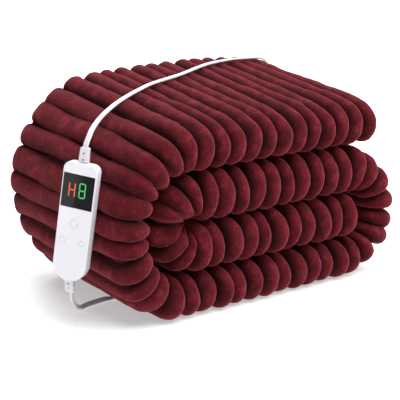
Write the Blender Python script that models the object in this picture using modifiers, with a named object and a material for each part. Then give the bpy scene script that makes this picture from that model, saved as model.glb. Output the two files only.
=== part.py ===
"""Electric heated throw: ribbed plush folded in four, wound flat, with its hand control and leads.

Units are metres and +Z is up.  The throw lies on z = 0 with its rows along X and the rounded
front fold of every row facing -Y.  The origin is the middle of its footprint.
"""

import math

import bmesh
import bpy
import numpy as np
from mathutils import Euler, Matrix, Vector

# ------------------------------------------------------------------ the folded throw
AXIS_X = -0.0868            # x of the axis that both left-hand turns share
FRONT_Y = -0.12825          # y of the foremost rib crests
DEPTH = 0.2600              # from the front fold to the back fold
ROW_GAP = 0.0015            # air between two rows
LAYER_GAP = 0.0016          # air between two layers of one row

# thickness of each row, from the floor up
ROW_THICKNESS = {"row_4": 0.0510, "row_3": 0.0570, "row_2": 0.0600, "row_1": 0.0575}
# each turn: its thickness half-way round, and how far its middle line reaches sideways
TURN_THICKNESS = {"inner_left": 0.0560, "right": 0.0470, "outer_left": 0.0500}
TURN_REACH = {"inner_left": 0.0295, "right": 0.0600, "outer_left": 0.0862}
TURN_FLAT = {"inner_left": 0.0, "right": 0.0, "outer_left": 0.0180}  # its low half starts later by this
CROWDING = 1.50             # channels squeezed into the tight inner turn, against a loose one
RIGHT_TURN_X = 0.2400       # where rows 2 and 4 go into the right turn, from the axis
INNER_END_X = 0.2520        # free end of row 3
OUTER_END_X = 0.2800        # free end of row 1

RIB_PITCH = 0.0233          # one sewn channel, along the middle of the cloth
CREST_SHARE = 0.42          # part of the pitch between a crest's two shoulders
GROOVE_OUT = 0.0080         # valley below its crest on the outer face of the roll
GROOVE_IN = 0.0025          # where one row is pressed on the next
GROOVE_FRONT = 0.0080       # on the rounded front fold
END_INSET = 1.3             # a free end is drawn in by this many groove depths
LEAN = 0.0022               # sideways lean of a rib's outer side
SWELL = 0.0016              # how far a rib stands before or behind its neighbours
UNEVEN = 0.09               # how much rib widths differ, in pitches

ROUNDING_TOP = 0.0460       # along Y, from the front to the flat top of row 1
ROUNDING_ROW = 0.0300       # the same on the outer side of the other rows
ROUNDING_IN = 0.0270        # on the side that faces the middle of the roll
OUTER_HEM_BACK = 0.0040     # how far each edge lies in from the back fold
INNER_HEM_BACK = 0.0110
SLIT_BACK = 0.0180          # solid cloth of the back fold, between the two upper layers

CROWN = 0.150               # how much taller the pile is at its back than at its front
CROWN_FROM = 0.030          # depth where the rise begins
CROWN_X = 0.150             # x of its summit, from the axis
CROWN_LEFT = (0.150, 0.16)  # over this distance to the left the rise loses this share
CROWN_RIGHT = (0.120, 0.20)
SLUMP = 0.020               # the low left side leans out at the front and in at the back
SLUMP_PIVOT = 0.35          # share of the depth where it does neither
SLUMP_REACH = (0.080, 0.140)   # distances left of the axis and up over which it fades

# ------------------------------------------------------------------ the hand control
CONTROL_WIDTH = 0.0405
CONTROL_LENGTH = 0.1360
CONTROL_DEPTH = 0.0146
FRONT_SHELL_DEPTH = 0.0073
CONTROL_TOP_RADIUS = 0.0085
CONTROL_EDGE = 0.0012       # rounding of its edges
CONTROL_PLACE = (-0.1343, 0.0593, 0.1266)   # middle of its front face, from the axis and the front
CONTROL_FACING = math.radians(33.5)         # how far its face turns from -X towards -Y
CONTROL_TILT = math.radians(-7.5)
CONTROL_LEAN = math.radians(-3.0)
WINDOW_SIZE = (0.0372, 0.0380, 0.0012)
WINDOW_Y = 0.0360           # middle of the window above the middle of the control
# buttons: place on the face, radius
BUTTONS = {
    "power_button": (0.0, -0.0012, 0.0046),
    "lower_heat_button": (-0.0117, -0.0217, 0.0030),
    "raise_heat_button": (0.0117, -0.0217, 0.0030),
}
BUTTON_PROUD = 0.0008
BUTTON_SEAT = 0.0012        # how deep a button's foot sits below the face
BUTTON_TRAVEL = 0.0006
RUNNING_GAP = 0.0003
RELIEF_LENGTH = {"relief_upper": 0.0170, "relief_lower": 0.0140}
RELIEF_WIDTH = (0.0112, 0.0100)
RELIEF_DEPTH = (0.0072, 0.0060)

# ------------------------------------------------------------------ the leads
LEAD_DIAMETER = 0.0050
SHORT_LEAD_DIAMETER = 0.0036    # its thickness, because it passes under the throw
LEAD_GAP = 0.0003
LEAD_STEPS = 2.5            # diameters between two points of a lead's solid
# routes: x from the axis, y from the front, z
MAINS_ROUTE = [
    (-0.1115, 0.0595, 0.2225), (-0.1025, 0.0685, 0.2268),
    (-0.0885, 0.0826, 0.2302), (-0.0720, 0.0974, 0.2336), (-0.0530, 0.1121, 0.2372),
    (-0.0320, 0.1251, 0.2416), (-0.0103, 0.1353, 0.2460), (0.0177, 0.1499, 0.2494),
    (0.0465, 0.1635, 0.2522), (0.0966, 0.1786, 0.2556), (0.1471, 0.2004, 0.2593),
    (0.1766, 0.2114, 0.2606), (0.2174, 0.2216, 0.2606), (0.2479, 0.2258, 0.2590),
    (0.2700, 0.2285, 0.2572), (0.2860, 0.2335, 0.2500), (0.2945, 0.2440, 0.2310),
    (0.2962, 0.2590, 0.2020), (0.2945, 0.2740, 0.1620), (0.2910, 0.2865, 0.1100),
    (0.2865, 0.2960, 0.0560), (0.2790, 0.3045, 0.0190), (0.2650, 0.3130, 0.0050),
]
BLANKET_LEAD_ROUTE = [
    (-0.1361, 0.0714, 0.0387), (-0.1327, 0.0747, 0.0347), (-0.1270, 0.0808, 0.0286),
    (-0.1193, 0.0890, 0.0208), (-0.1105, 0.0972, 0.0130), (-0.1018, 0.1054, 0.0070),
    (-0.0945, 0.1117, 0.0034), (-0.0875, 0.1158, 0.0022), (-0.0790, 0.1180, 0.0021),
    (-0.0679, 0.1196, 0.0023),
]
# the spare length of the mains lead, tied in a flat coil behind the throw
COIL_PLACE = (0.2050, 0.3350)
COIL_RADIUS = 0.0360        # at the middle of its turns
COIL_WIDTH = 0.0196
COIL_HEIGHT = 0.0080
COIL_LIFT = 0.0016
COIL_ENTRY = math.radians(22)    # where the lead joins its outer side, from +X
TAIL_TURN = math.radians(110)    # where the plug's end of the lead leaves it
TIE_TURN = math.radians(250)
TIE_WIDTH = 0.0100
TIE_THICKNESS = 0.0009
TIE_ROOM = 0.0006
PLUG_PLACE = (0.0900, 0.3480, 0.0093)       # middle of its body
PLUG_SIZE = (0.0260, 0.0240, 0.0180)
PLUG_NECK = 0.0160
BLADE_SIZE = (0.0160, 0.0015, 0.0064)
BLADE_SPACING = 0.0127
# the moulded sleeve where the short lead goes into the throw, under its left edge
SLEEVE_FROM = (-0.0545, 0.1213, 0.0031)
SLEEVE_TO = (-0.0436, 0.1229, 0.0029)
SLEEVE_RADIUS = (0.0027, 0.0023)


def smooth(t):
    t = min(max(t, 0.0), 1.0)
    return t * t * (3.0 - 2.0 * t)


# ------------------------------------------------------------------ scene and materials
def clear_scene():
    for old in list(bpy.data.objects):
        bpy.data.objects.remove(old, do_unlink=True)


def new_collection(name):
    collection = bpy.data.collections.new(name)
    bpy.context.scene.collection.children.link(collection)
    return collection


def finish_of(name, colour, roughness, metallic=0.0):
    material = bpy.data.materials.new(name)
    material.use_nodes = True
    shader = material.node_tree.nodes["Principled BSDF"]
    shader.inputs["Base Color"].default_value = (*colour, 1.0)
    shader.inputs["Roughness"].default_value = roughness
    shader.inputs["Metallic"].default_value = metallic
    return material


def add_object(name, data, material, collection=None, parent=None):
    thing = bpy.data.objects.new(name, data)
    (collection or PARTS).objects.link(thing)
    if material:
        data.materials.append(material)
    thing.parent = parent
    return thing


def bevel(thing, width, segments=2, angle=40.0):
    rounding = thing.modifiers.new("rounded edges", "BEVEL")
    rounding.width = width
    rounding.segments = segments
    rounding.limit_method = "ANGLE"
    rounding.angle_limit = math.radians(angle)


# ------------------------------------------------------------------ the line that the rows follow
def row_heights():
    z = 0.0
    heights = {}
    for name, thickness in ROW_THICKNESS.items():
        heights[name] = z + thickness / 2
        z += thickness + ROW_GAP
    return heights


def run(x_from, x_to, row):
    """A straight stretch of one row: samples of x, z, normal x, normal z and thickness."""
    z = row_heights()[row]
    side = 1.0 if x_to > x_from else -1.0
    samples = max(2, int(abs(x_to - x_from) / 0.002))
    return [(x, z, 0.0, side, ROW_THICKNESS[row]) for x in np.linspace(x_from, x_to, samples)]


def turn(x, row_from, row_to, name, side):
    """A half-ellipse from one row to another; side is -1 for a left turn and 1 for a right one."""
    start, end = row_heights()[row_from], row_heights()[row_to]
    half, middle = (end - start) / 2, (end + start) / 2
    reach = TURN_REACH[name]
    outward = math.copysign(side, side * half)
    places = []
    for angle in np.linspace(-math.pi / 2, math.pi / 2, 81):
        flat = TURN_FLAT[name] if angle < 0 else 0.0
        ends = ROW_THICKNESS[row_from] if angle < 0 else ROW_THICKNESS[row_to]
        thickness = ends + (TURN_THICKNESS[name] - ends) * smooth(math.cos(angle))
        places.append((x + side * (flat + (reach - flat) * math.cos(angle)),
                       middle + half * math.sin(angle), thickness))
    samples = []
    for before, place, after in zip(places, places[1:], places[2:]):
        normal = Vector((after[1] - before[1], before[0] - after[0])).normalized() * outward
        samples.append((place[0], place[1], normal.x, normal.y, place[2]))
    return samples


def middle_line():
    """The middle of the wound cloth from its inner free end to its outer one, by length.

    Lengths in the tight inner turn count for more: its channels are crowded.
    """
    inner_row = run(INNER_END_X, 0.0, "row_3")
    inner_turn = turn(0.0, "row_3", "row_2", "inner_left", -1)
    samples = inner_row + inner_turn + run(0.0, RIGHT_TURN_X, "row_2")
    samples += turn(RIGHT_TURN_X, "row_2", "row_4", "right", 1)
    samples += run(RIGHT_TURN_X, -TURN_FLAT["outer_left"], "row_4")
    samples += turn(0.0, "row_4", "row_1", "outer_left", -1)
    samples += run(0.0, OUTER_END_X, "row_1")
    line = np.array(samples)
    steps = np.hypot(np.diff(line[:, 0]), np.diff(line[:, 1]))
    steps[len(inner_row):len(inner_row) + len(inner_turn)] *= CROWDING
    return np.concatenate([[0.0], np.cumsum(steps)]), line


def on_line(s, lengths, line):
    return [float(np.interp(s, lengths, line[:, column])) for column in range(5)]


# ------------------------------------------------------------------ one section of the folded cloth
def fold_section(thickness, rounding, groove):
    """The four layers of one row, cut across: (depth, height, share of lean) for each corner.

    The outer layer runs round the front fold and back under the row, the inner one lies in it,
    and both meet at the back fold on the outer side.  The cut edges are at the back too.
    """
    half, quarter, gap = thickness / 2, thickness / 4, LAYER_GAP / 2
    back = DEPTH - quarter
    out_drop, in_drop, front_drop = (groove * d for d in (GROOVE_OUT, GROOVE_IN, GROOVE_FRONT))
    points = [(DEPTH - OUTER_HEM_BACK - front_drop / 2, in_drop - half), (ROUNDING_IN, in_drop - half)]
    for degrees in (-60, -30, 0, 30, 60):
        angle = math.radians(degrees)
        reach, drop = (ROUNDING_IN, in_drop) if degrees < 0 else (rounding, out_drop)
        depth = reach * (1 - math.cos(angle)) + front_drop * math.cos(angle)
        points.append((depth, (half - drop) * math.sin(angle)))
    points += [(rounding, half - out_drop), (back, half - out_drop)]
    for degrees in (30, -30):
        angle = math.radians(degrees)
        out = (quarter - gap / 2) * math.cos(angle) - front_drop / 2
        points.append((back + out, quarter + gap / 2 + (quarter - gap / 2 - out_drop / 2) * math.sin(angle)))
    points += [(back - quarter / 2, gap), (2 * quarter, gap), (2 * quarter, -gap)]
    points += [(DEPTH - INNER_HEM_BACK, -gap), (DEPTH - INNER_HEM_BACK, gap - quarter)]
    slit_end = DEPTH - SLIT_BACK
    inner = [(quarter + gap + 0.4 * rounding * (1 - math.cos(math.radians(d))),
              (quarter - gap) * math.sin(math.radians(d))) for d in (-90, -30, 30, 90)]
    outer = [(quarter - gap + 0.5 * rounding * (1 - math.cos(math.radians(d))),
              (quarter + gap) * math.sin(math.radians(d))) for d in (90, 30, -30, -90)]
    points += inner
    points += [(slit_end, quarter - gap), (slit_end, quarter + gap)]
    points += outer
    points.append((DEPTH - OUTER_HEM_BACK, -quarter - gap))
    return points


def crown(x, depth):
    width, share = CROWN_LEFT if x < CROWN_X else CROWN_RIGHT
    across = max(1.0 - share * ((x - CROWN_X) / width) ** 2, 0.0)
    along = max(depth - CROWN_FROM, 0.0) / (DEPTH - CROWN_FROM)
    return 1.0 + CROWN * across * along


def slump(x, depth, z):
    """Sideways shift of the low left side."""
    across = min(max(-x / SLUMP_REACH[0], 0.0), 1.0)
    low = max(1.0 - z / SLUMP_REACH[1], 0.0)
    return SLUMP * across * low * (depth / DEPTH - SLUMP_PIVOT)


def rib_stations(total):
    """Stations along the cloth: (length, groove share, rib number); three to a rib."""
    ribs = round(total / RIB_PITCH)
    stations = []
    edges = []
    for rib in range(ribs + 1):
        stray = UNEVEN * math.sin(2.4 * rib) + 0.5 * UNEVEN * math.sin(5.1 * rib + 1.0)
        edges.append((rib + (stray if 0 < rib < ribs else 0.0)) * total / ribs)
    for rib, (start, end) in enumerate(zip(edges, edges[1:])):
        middle, half_crest = (start + end) / 2, (end - start) * CREST_SHARE / 2
        stations.append((start, 1.0 if rib else END_INSET, rib))
        stations.append((middle - half_crest, 0.0, rib))
        stations.append((middle + half_crest, 0.0, rib))
    stations.append((total, END_INSET, ribs))
    return stations


def blanket_mesh():
    lengths, line = middle_line()
    total = lengths[-1]
    top_starts = total - OUTER_END_X - TURN_REACH["outer_left"] * math.pi
    shell = bmesh.new()
    rings = []
    for length, groove, rib in rib_stations(total):
        x, z, normal_x, normal_z, thickness = on_line(length, lengths, line)
        rise = smooth((length - top_starts) / (TURN_REACH["outer_left"] * math.pi))
        rounding = ROUNDING_ROW + (ROUNDING_TOP - ROUNDING_ROW) * rise
        lean = LEAN * math.sin(1.9 * rib + 0.5)
        swell = SWELL * math.sin(2.3 * rib)
        ring = []
        for depth, height in fold_section(thickness, rounding, groove):
            shifted = length + lean * height / (thickness / 2)
            x, z, normal_x, normal_z, local = on_line(shifted, lengths, line)
            height *= local / thickness
            depth += swell * (1 - depth / DEPTH)
            px, pz = x + normal_x * height, z + normal_z * height
            pz = max(pz * crown(px, depth), 0.0)
            px += slump(px, depth, pz)
            ring.append(shell.verts.new((AXIS_X + px, FRONT_Y + depth, pz)))
        rings.append(ring)
    corners = len(rings[0])
    for first, second in zip(rings, rings[1:]):
        for corner in range(corners):
            after = (corner + 1) % corners
            shell.faces.new((first[corner], first[after], second[after], second[corner]))
    shell.faces.new(rings[0][::-1])
    shell.faces.new(rings[-1])
    bmesh.ops.recalc_face_normals(shell, faces=shell.faces)
    mesh = bpy.data.meshes.new("blanket")
    shell.to_mesh(mesh)
    shell.free()
    mesh.shade_smooth()
    return mesh


# ------------------------------------------------------------------ plates and turned pieces
def rounded_outline(width, length, top_radius, bottom_radius, steps=6):
    """Corners of an upright rounded rectangle about the origin, as (x, y)."""
    corners = [
        (width / 2 - top_radius, length / 2 - top_radius, top_radius, 0),
        (-width / 2 + top_radius, length / 2 - top_radius, top_radius, 90),
        (-width / 2 + bottom_radius, -length / 2 + bottom_radius, bottom_radius, 180),
        (width / 2 - bottom_radius, -length / 2 + bottom_radius, bottom_radius, 270),
    ]
    outline = []
    for x, y, radius, start in corners:
        for step in range(steps + 1):
            angle = math.radians(start + 90 * step / steps)
            outline.append((x + radius * math.cos(angle), y + radius * math.sin(angle)))
    return outline


def plate(name, outline, low, high, material, collection=None, parent=None, offset=(0.0, 0.0)):
    """A flat outline with thickness, from height low to height high, as a mesh object."""
    curve = bpy.data.curves.new(name, "CURVE")
    curve.dimensions = "2D"
    curve.fill_mode = "BOTH"
    curve.extrude = (high - low) / 2
    spline = curve.splines.new("POLY")
    spline.points.add(len(outline) - 1)
    for point, (x, y) in zip(spline.points, outline):
        point.co = (x + offset[0], y + offset[1], 0.0, 1.0)
    spline.use_cyclic_u = True
    guide = bpy.data.objects.new(name + "_outline", curve)
    bpy.context.scene.collection.objects.link(guide)
    evaluated = guide.evaluated_get(bpy.context.evaluated_depsgraph_get())
    mesh = bpy.data.meshes.new_from_object(evaluated)
    bpy.data.objects.remove(guide, do_unlink=True)
    closed = bmesh.new()
    closed.from_mesh(mesh)
    bmesh.ops.remove_doubles(closed, verts=closed.verts, dist=1e-6)
    bmesh.ops.dissolve_limit(closed, angle_limit=math.radians(1), verts=closed.verts, edges=closed.edges)
    bmesh.ops.translate(closed, verts=closed.verts, vec=(0.0, 0.0, (low + high) / 2))
    bmesh.ops.recalc_face_normals(closed, faces=closed.faces)
    closed.to_mesh(mesh)
    closed.free()
    mesh.name = name
    mesh.materials.clear()
    return add_object(name, mesh, material, collection, parent)


def disc_mesh(name, radius, low, high, sides=24):
    disc = bmesh.new()
    bmesh.ops.create_cone(disc, cap_ends=True, segments=sides, radius1=radius, radius2=radius, depth=high - low)
    bmesh.ops.translate(disc, verts=disc.verts, vec=(0.0, 0.0, (low + high) / 2))
    mesh = bpy.data.meshes.new(name)
    disc.to_mesh(mesh)
    disc.free()
    return mesh


def cut(thing, cutter):
    cutter.hide_render = True
    cutter.display_type = "WIRE"
    hole = thing.modifiers.new("pocket for " + cutter.name, "BOOLEAN")
    hole.operation = "DIFFERENCE"
    hole.solver = "EXACT"
    hole.object = cutter


def tapered_box(name, size_low, size_high, low, high, material, parent=None):
    """A four-sided frustum along Y: width and depth at y = low and at y = high."""
    body = bmesh.new()
    bmesh.ops.create_cube(body, size=1.0)
    for vertex in body.verts:
        width, depth = size_high if vertex.co.y > 0 else size_low
        vertex.co = (vertex.co.x * width, high if vertex.co.y > 0 else low, vertex.co.z * depth)
    mesh = bpy.data.meshes.new(name)
    body.to_mesh(mesh)
    body.free()
    return add_object(name, mesh, material, None, parent)


# ------------------------------------------------------------------ the hand control
def control_frame():
    """An empty at the middle of the control's face: +X across it, +Y up it, +Z out of it."""
    frame = bpy.data.objects.new("control_frame", None)
    PARTS.objects.link(frame)
    x, y, z = CONTROL_PLACE
    upright = Matrix((
        (math.sin(CONTROL_FACING), 0.0, -math.cos(CONTROL_FACING)),
        (-math.cos(CONTROL_FACING), 0.0, -math.sin(CONTROL_FACING)),
        (0.0, 1.0, 0.0),
    ))
    turned = upright @ Euler((CONTROL_LEAN, 0.0, CONTROL_TILT)).to_matrix()
    frame.matrix_world = Matrix.Translation((AXIS_X + x, FRONT_Y + y, z)) @ turned.to_4x4()
    return frame


def control_shells(frame):
    outline = rounded_outline(CONTROL_WIDTH, CONTROL_LENGTH, CONTROL_TOP_RADIUS, CONTROL_WIDTH / 2)
    front = plate("control_front_shell", outline, -FRONT_SHELL_DEPTH, 0.0, SHELL_PLASTIC, parent=frame)
    back = plate("control_back_shell", outline, -CONTROL_DEPTH, -FRONT_SHELL_DEPTH - RUNNING_GAP,
                 SHELL_PLASTIC, parent=frame)
    bevel(front, CONTROL_EDGE, angle=60.0)
    bevel(back, CONTROL_EDGE, angle=60.0)
    width, height, depth = WINDOW_SIZE
    gap = RUNNING_GAP
    seat = plate("window_seat", rounded_outline(width + 2 * gap, height + 2 * gap, 0.0004, 0.0004, 1),
                 -depth - gap, 0.002, None, CUTTERS, frame, (0.0, WINDOW_Y))
    cut(front, seat)
    for name, (x, y, radius) in BUTTONS.items():
        depth = BUTTON_SEAT + BUTTON_TRAVEL + gap
        pocket = add_object(name + "_pocket", disc_mesh(name + "_pocket", radius + gap, -depth, 0.002),
                            None, CUTTERS, frame)
        pocket.location = (x, y, 0.0)
        cut(front, pocket)


def window(frame):
    width, height, depth = WINDOW_SIZE
    plate("display_window", rounded_outline(width, height, 0.0004, 0.0004, 1), -depth, 0.0,
          WINDOW_GLASS, parent=frame, offset=(0.0, WINDOW_Y))


def buttons(frame):
    for name, (x, y, radius) in BUTTONS.items():
        cap = add_object(name, disc_mesh(name, radius, -BUTTON_SEAT, BUTTON_PROUD), BUTTON_PLASTIC,
                         parent=frame)
        cap.location = (x, y, 0.0)
        bevel(cap, 0.0004, 1)


def reliefs(frame):
    for name, length in RELIEF_LENGTH.items():
        side = 1.0 if name == "relief_upper" else -1.0
        near = side * (CONTROL_LENGTH / 2 + RUNNING_GAP)
        far = near + side * length
        wide, narrow = zip(RELIEF_WIDTH, RELIEF_DEPTH)
        sizes = (wide, narrow) if side > 0 else (narrow, wide)
        relief = tapered_box(name, sizes[0], sizes[1], min(near, far), max(near, far), LEAD_PLASTIC, frame)
        relief.location = (0.0, 0.0, -CONTROL_DEPTH / 2)
        bevel(relief, 0.0012)


# ------------------------------------------------------------------ leads, coil, plug and sleeve
def from_pile(x, y, z):
    return Vector((AXIS_X + x, FRONT_Y + y, z))


def smooth_route(points, spacing):
    """A Catmull-Rom curve through the route's own points, at even steps."""
    ends = [2 * points[0] - points[1]] + points + [2 * points[-1] - points[-2]]
    fine = []
    for before, start, end, after in zip(ends, ends[1:], ends[2:], ends[3:]):
        for step in range(20):
            t = step / 20
            fine.append(0.5 * ((2 * start) + (end - before) * t
                               + (2 * before - 5 * start + 4 * end - after) * t ** 2
                               + (3 * start - before - 3 * end + after) * t ** 3))
    fine.append(points[-1])
    lengths = [0.0]
    for start, end in zip(fine, fine[1:]):
        lengths.append(lengths[-1] + (end - start).length)
    count = math.ceil(lengths[-1] / spacing) + 1
    spots = np.linspace(0.0, lengths[-1], count)
    columns = [np.interp(spots, lengths, [point[axis] for point in fine]) for axis in range(3)]
    return [Vector(point) for point in zip(*columns)]


def lead(name, points, diameter=LEAD_DIAMETER):
    curve = bpy.data.curves.new(name, "CURVE")
    curve.dimensions = "3D"
    curve.bevel_depth = diameter / 2
    curve.bevel_resolution = 2
    curve.use_fill_caps = True
    spline = curve.splines.new("POLY")
    route = [points[0]] + smooth_route(points[1:-1], LEAD_STEPS * diameter) + [points[-1]]
    spline.points.add(len(route) - 1)
    for point, place in zip(spline.points, route):
        point.co = (*place, 1.0)
    return add_object(name, curve, LEAD_PLASTIC)


def relief_tip(frame, name):
    """Where a lead comes out of its strain relief, and the way it leaves."""
    side = 1.0 if name == "relief_upper" else -1.0
    reach = side * (CONTROL_LENGTH / 2 + RUNNING_GAP + RELIEF_LENGTH[name] + LEAD_GAP)
    place = frame.matrix_world @ Vector((0.0, reach, -CONTROL_DEPTH / 2))
    way = frame.matrix_world.to_3x3() @ Vector((0.0, side, 0.0))
    return place, way


def coil_spot(angle, radius, z):
    return from_pile(COIL_PLACE[0] + radius * math.cos(angle), COIL_PLACE[1] + radius * math.sin(angle), z)


def mains_lead(frame):
    place, way = relief_tip(frame, "relief_upper")
    joins = coil_spot(COIL_ENTRY, COIL_RADIUS + COIL_WIDTH / 2 + LEAD_DIAMETER / 2 + LEAD_GAP,
                      COIL_LIFT + COIL_HEIGHT / 2)
    along = Vector((-math.sin(COIL_ENTRY), math.cos(COIL_ENTRY), 0.0))
    lead("mains_lead", [place, place + 0.003 * way] + [from_pile(*p) for p in MAINS_ROUTE]
         + [joins - 0.012 * along, joins - 0.003 * along, joins])


def blanket_lead(frame):
    place, way = relief_tip(frame, "relief_lower")
    along = (from_pile(*SLEEVE_TO) - from_pile(*SLEEVE_FROM)).normalized()
    enters = from_pile(*SLEEVE_FROM) - LEAD_GAP * along
    lead("blanket_lead", [place, place + 0.002 * way] + [from_pile(*p) for p in BLANKET_LEAD_ROUTE]
         + [enters - 0.003 * along, enters], SHORT_LEAD_DIAMETER)


def coil():
    """A turned ring: the outer shape of the tied turns."""
    profile = bpy.data.meshes.new("mains_coil")
    ring = bmesh.new()
    corner = 0.0015
    half, top = COIL_WIDTH / 2, COIL_LIFT + COIL_HEIGHT
    outline = [
        (COIL_RADIUS + half, top - corner), (COIL_RADIUS + half, COIL_LIFT + corner),
        (COIL_RADIUS + half - corner, COIL_LIFT), (COIL_RADIUS - half + corner, COIL_LIFT),
        (COIL_RADIUS - half, COIL_LIFT + corner), (COIL_RADIUS - half, top - corner),
        (COIL_RADIUS - half + corner, top), (COIL_RADIUS + half - corner, top),
    ]
    corners = [ring.verts.new((x, 0.0, z)) for x, z in outline]
    for start, end in zip(corners, corners[1:] + corners[:1]):
        ring.edges.new((start, end))
    ring.to_mesh(profile)
    ring.free()
    thing = add_object("mains_coil", profile, LEAD_PLASTIC)
    thing.location = from_pile(*COIL_PLACE, 0.0)
    screw = thing.modifiers.new("turned ring", "SCREW")
    screw.steps = 36
    screw.render_steps = 36
    screw.use_merge_vertices = True
    screw.merge_threshold = 0.00001
    screw.use_normal_calculate = True


def tie():
    """A flat band round the coil's turns."""
    room = TIE_ROOM
    inner = (COIL_WIDTH + 2 * room, TIE_WIDTH * 2, COIL_HEIGHT + 2 * room)
    outer = (inner[0] + 2 * TIE_THICKNESS, TIE_WIDTH, inner[2] + 2 * TIE_THICKNESS)
    middle = coil_spot(TIE_TURN, COIL_RADIUS - 0.0002, COIL_LIFT + COIL_HEIGHT / 2)
    things = []
    for name, size, material, collection in (("coil_tie", outer, TIE_FABRIC, PARTS),
                                             ("coil_tie_hole", inner, None, CUTTERS)):
        block = bmesh.new()
        bmesh.ops.create_cube(block, size=1.0)
        bmesh.ops.scale(block, vec=size, verts=block.verts)
        mesh = bpy.data.meshes.new(name)
        block.to_mesh(mesh)
        block.free()
        thing = add_object(name, mesh, material, collection)
        thing.location = middle
        thing.rotation_euler = (0.0, 0.0, TIE_TURN)
        things.append(thing)
    cut(things[0], things[1])


def box_object(name, size, place, material, edge=0.0):
    block = bmesh.new()
    bmesh.ops.create_cube(block, size=1.0)
    bmesh.ops.scale(block, vec=size, verts=block.verts)
    mesh = bpy.data.meshes.new(name)
    block.to_mesh(mesh)
    block.free()
    thing = add_object(name, mesh, material)
    thing.location = place
    if edge:
        bevel(thing, edge)
    return thing


def plug():
    """Two-blade plug whose blades point along -X, with its neck and the tail of the lead."""
    x, y, z = PLUG_PLACE
    length, width, height = PLUG_SIZE
    box_object("plug_body", PLUG_SIZE, from_pile(x, y, z), LEAD_PLASTIC, 0.0025)
    blade_x = x - length / 2 - RUNNING_GAP - BLADE_SIZE[0] / 2
    for name, side in (("plug_blade_left", -1), ("plug_blade_right", 1)):
        box_object(name, BLADE_SIZE, from_pile(blade_x, y + side * BLADE_SPACING / 2, z), BLADE_METAL)
    neck_x = x + length / 2 + RUNNING_GAP
    neck = tapered_box("plug_neck", (0.0110, 0.0085), (0.0080, 0.0062), 0.0, PLUG_NECK, LEAD_PLASTIC)
    neck.location = from_pile(neck_x, y, z)
    neck.rotation_euler = (0.0, 0.0, -math.pi / 2)
    bevel(neck, 0.0012)
    joins = coil_spot(TAIL_TURN, COIL_RADIUS + COIL_WIDTH / 2 + LEAD_DIAMETER / 2 + LEAD_GAP,
                      COIL_LIFT + COIL_HEIGHT / 2)
    leaves = Vector((-math.sin(TAIL_TURN), math.cos(TAIL_TURN), 0.0))
    start = from_pile(neck_x + PLUG_NECK + LEAD_GAP, y, z)
    lead("plug_tail", [start, start + Vector((0.003, 0.0, 0.0)), start + Vector((0.016, 0.0028, -0.0016)),
                       start + Vector((0.033, 0.0120, -0.0034)), joins + 0.014 * leaves,
                       joins + 0.003 * leaves, joins])


def sleeve():
    start, end = from_pile(*SLEEVE_FROM), from_pile(*SLEEVE_TO)
    length = (end - start).length
    cone = bmesh.new()
    bmesh.ops.create_cone(cone, cap_ends=True, segments=16, radius1=SLEEVE_RADIUS[0],
                          radius2=SLEEVE_RADIUS[1], depth=length)
    mesh = bpy.data.meshes.new("lead_sleeve")
    cone.to_mesh(mesh)
    cone.free()
    thing = add_object("lead_sleeve", mesh, LEAD_PLASTIC)
    thing.location = (start + end) / 2
    thing.rotation_euler = (end - start).to_track_quat("Z", "Y").to_euler()


# ------------------------------------------------------------------ what is made
clear_scene()
PARTS = new_collection("heated_throw")
CUTTERS = new_collection("cutters")
PLUSH = finish_of("burgundy ribbed plush", (0.145, 0.018, 0.026), 0.9)
SHELL_PLASTIC = finish_of("white ABS", (0.82, 0.81, 0.83), 0.25)
WINDOW_GLASS = finish_of("smoked acrylic window", (0.012, 0.012, 0.014), 0.08)
BUTTON_PLASTIC = finish_of("white rubber buttons", (0.78, 0.77, 0.79), 0.45)
LEAD_PLASTIC = finish_of("white PVC lead", (0.80, 0.79, 0.80), 0.4)
TIE_FABRIC = finish_of("grey hook-and-loop tie", (0.20, 0.20, 0.21), 0.85)
BLADE_METAL = finish_of("nickel-plated brass", (0.72, 0.70, 0.66), 0.25, 1.0)

add_object("blanket", blanket_mesh(), PLUSH)
control = control_frame()
bpy.context.view_layer.update()
control_shells(control)
window(control)
buttons(control)
reliefs(control)
mains_lead(control)
blanket_lead(control)
coil()
tie()
plug()
sleeve()
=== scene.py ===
import math

import bmesh
import bpy
import numpy as np
from mathutils import Euler, Matrix, Quaternion, Vector, noise


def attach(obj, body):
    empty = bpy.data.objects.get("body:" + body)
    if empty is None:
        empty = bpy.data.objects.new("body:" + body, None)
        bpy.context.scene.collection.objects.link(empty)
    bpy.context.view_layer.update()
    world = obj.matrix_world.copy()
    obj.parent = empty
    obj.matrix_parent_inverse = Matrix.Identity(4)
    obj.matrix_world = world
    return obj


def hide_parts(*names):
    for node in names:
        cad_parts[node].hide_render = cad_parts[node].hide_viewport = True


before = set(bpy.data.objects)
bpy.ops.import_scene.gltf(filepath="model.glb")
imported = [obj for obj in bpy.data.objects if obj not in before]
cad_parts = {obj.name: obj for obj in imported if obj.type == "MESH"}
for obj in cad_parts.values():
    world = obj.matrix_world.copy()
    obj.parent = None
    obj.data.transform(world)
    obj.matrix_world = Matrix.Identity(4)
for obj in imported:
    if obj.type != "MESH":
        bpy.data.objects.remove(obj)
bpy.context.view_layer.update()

# ---------------------------------------- the throw
# Polyester flannel plush, two faces sewn together in channels, folded in half twice and then
# wound flat over itself.  It lies loose: nothing holds the roll but its own weight.
AXIS_X = -0.0868  # the axis of the left turns
FRONT_Y = -0.12825  # the front of the folds
DEPTH = 0.2600
LAYER = 0.0140  # one of the four layers
MEAN_ROW = 0.0560
ROW_GAP = 0.0015
LAYER_GAP = 0.0016  # drawn half as wide in height, where it is hidden
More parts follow.
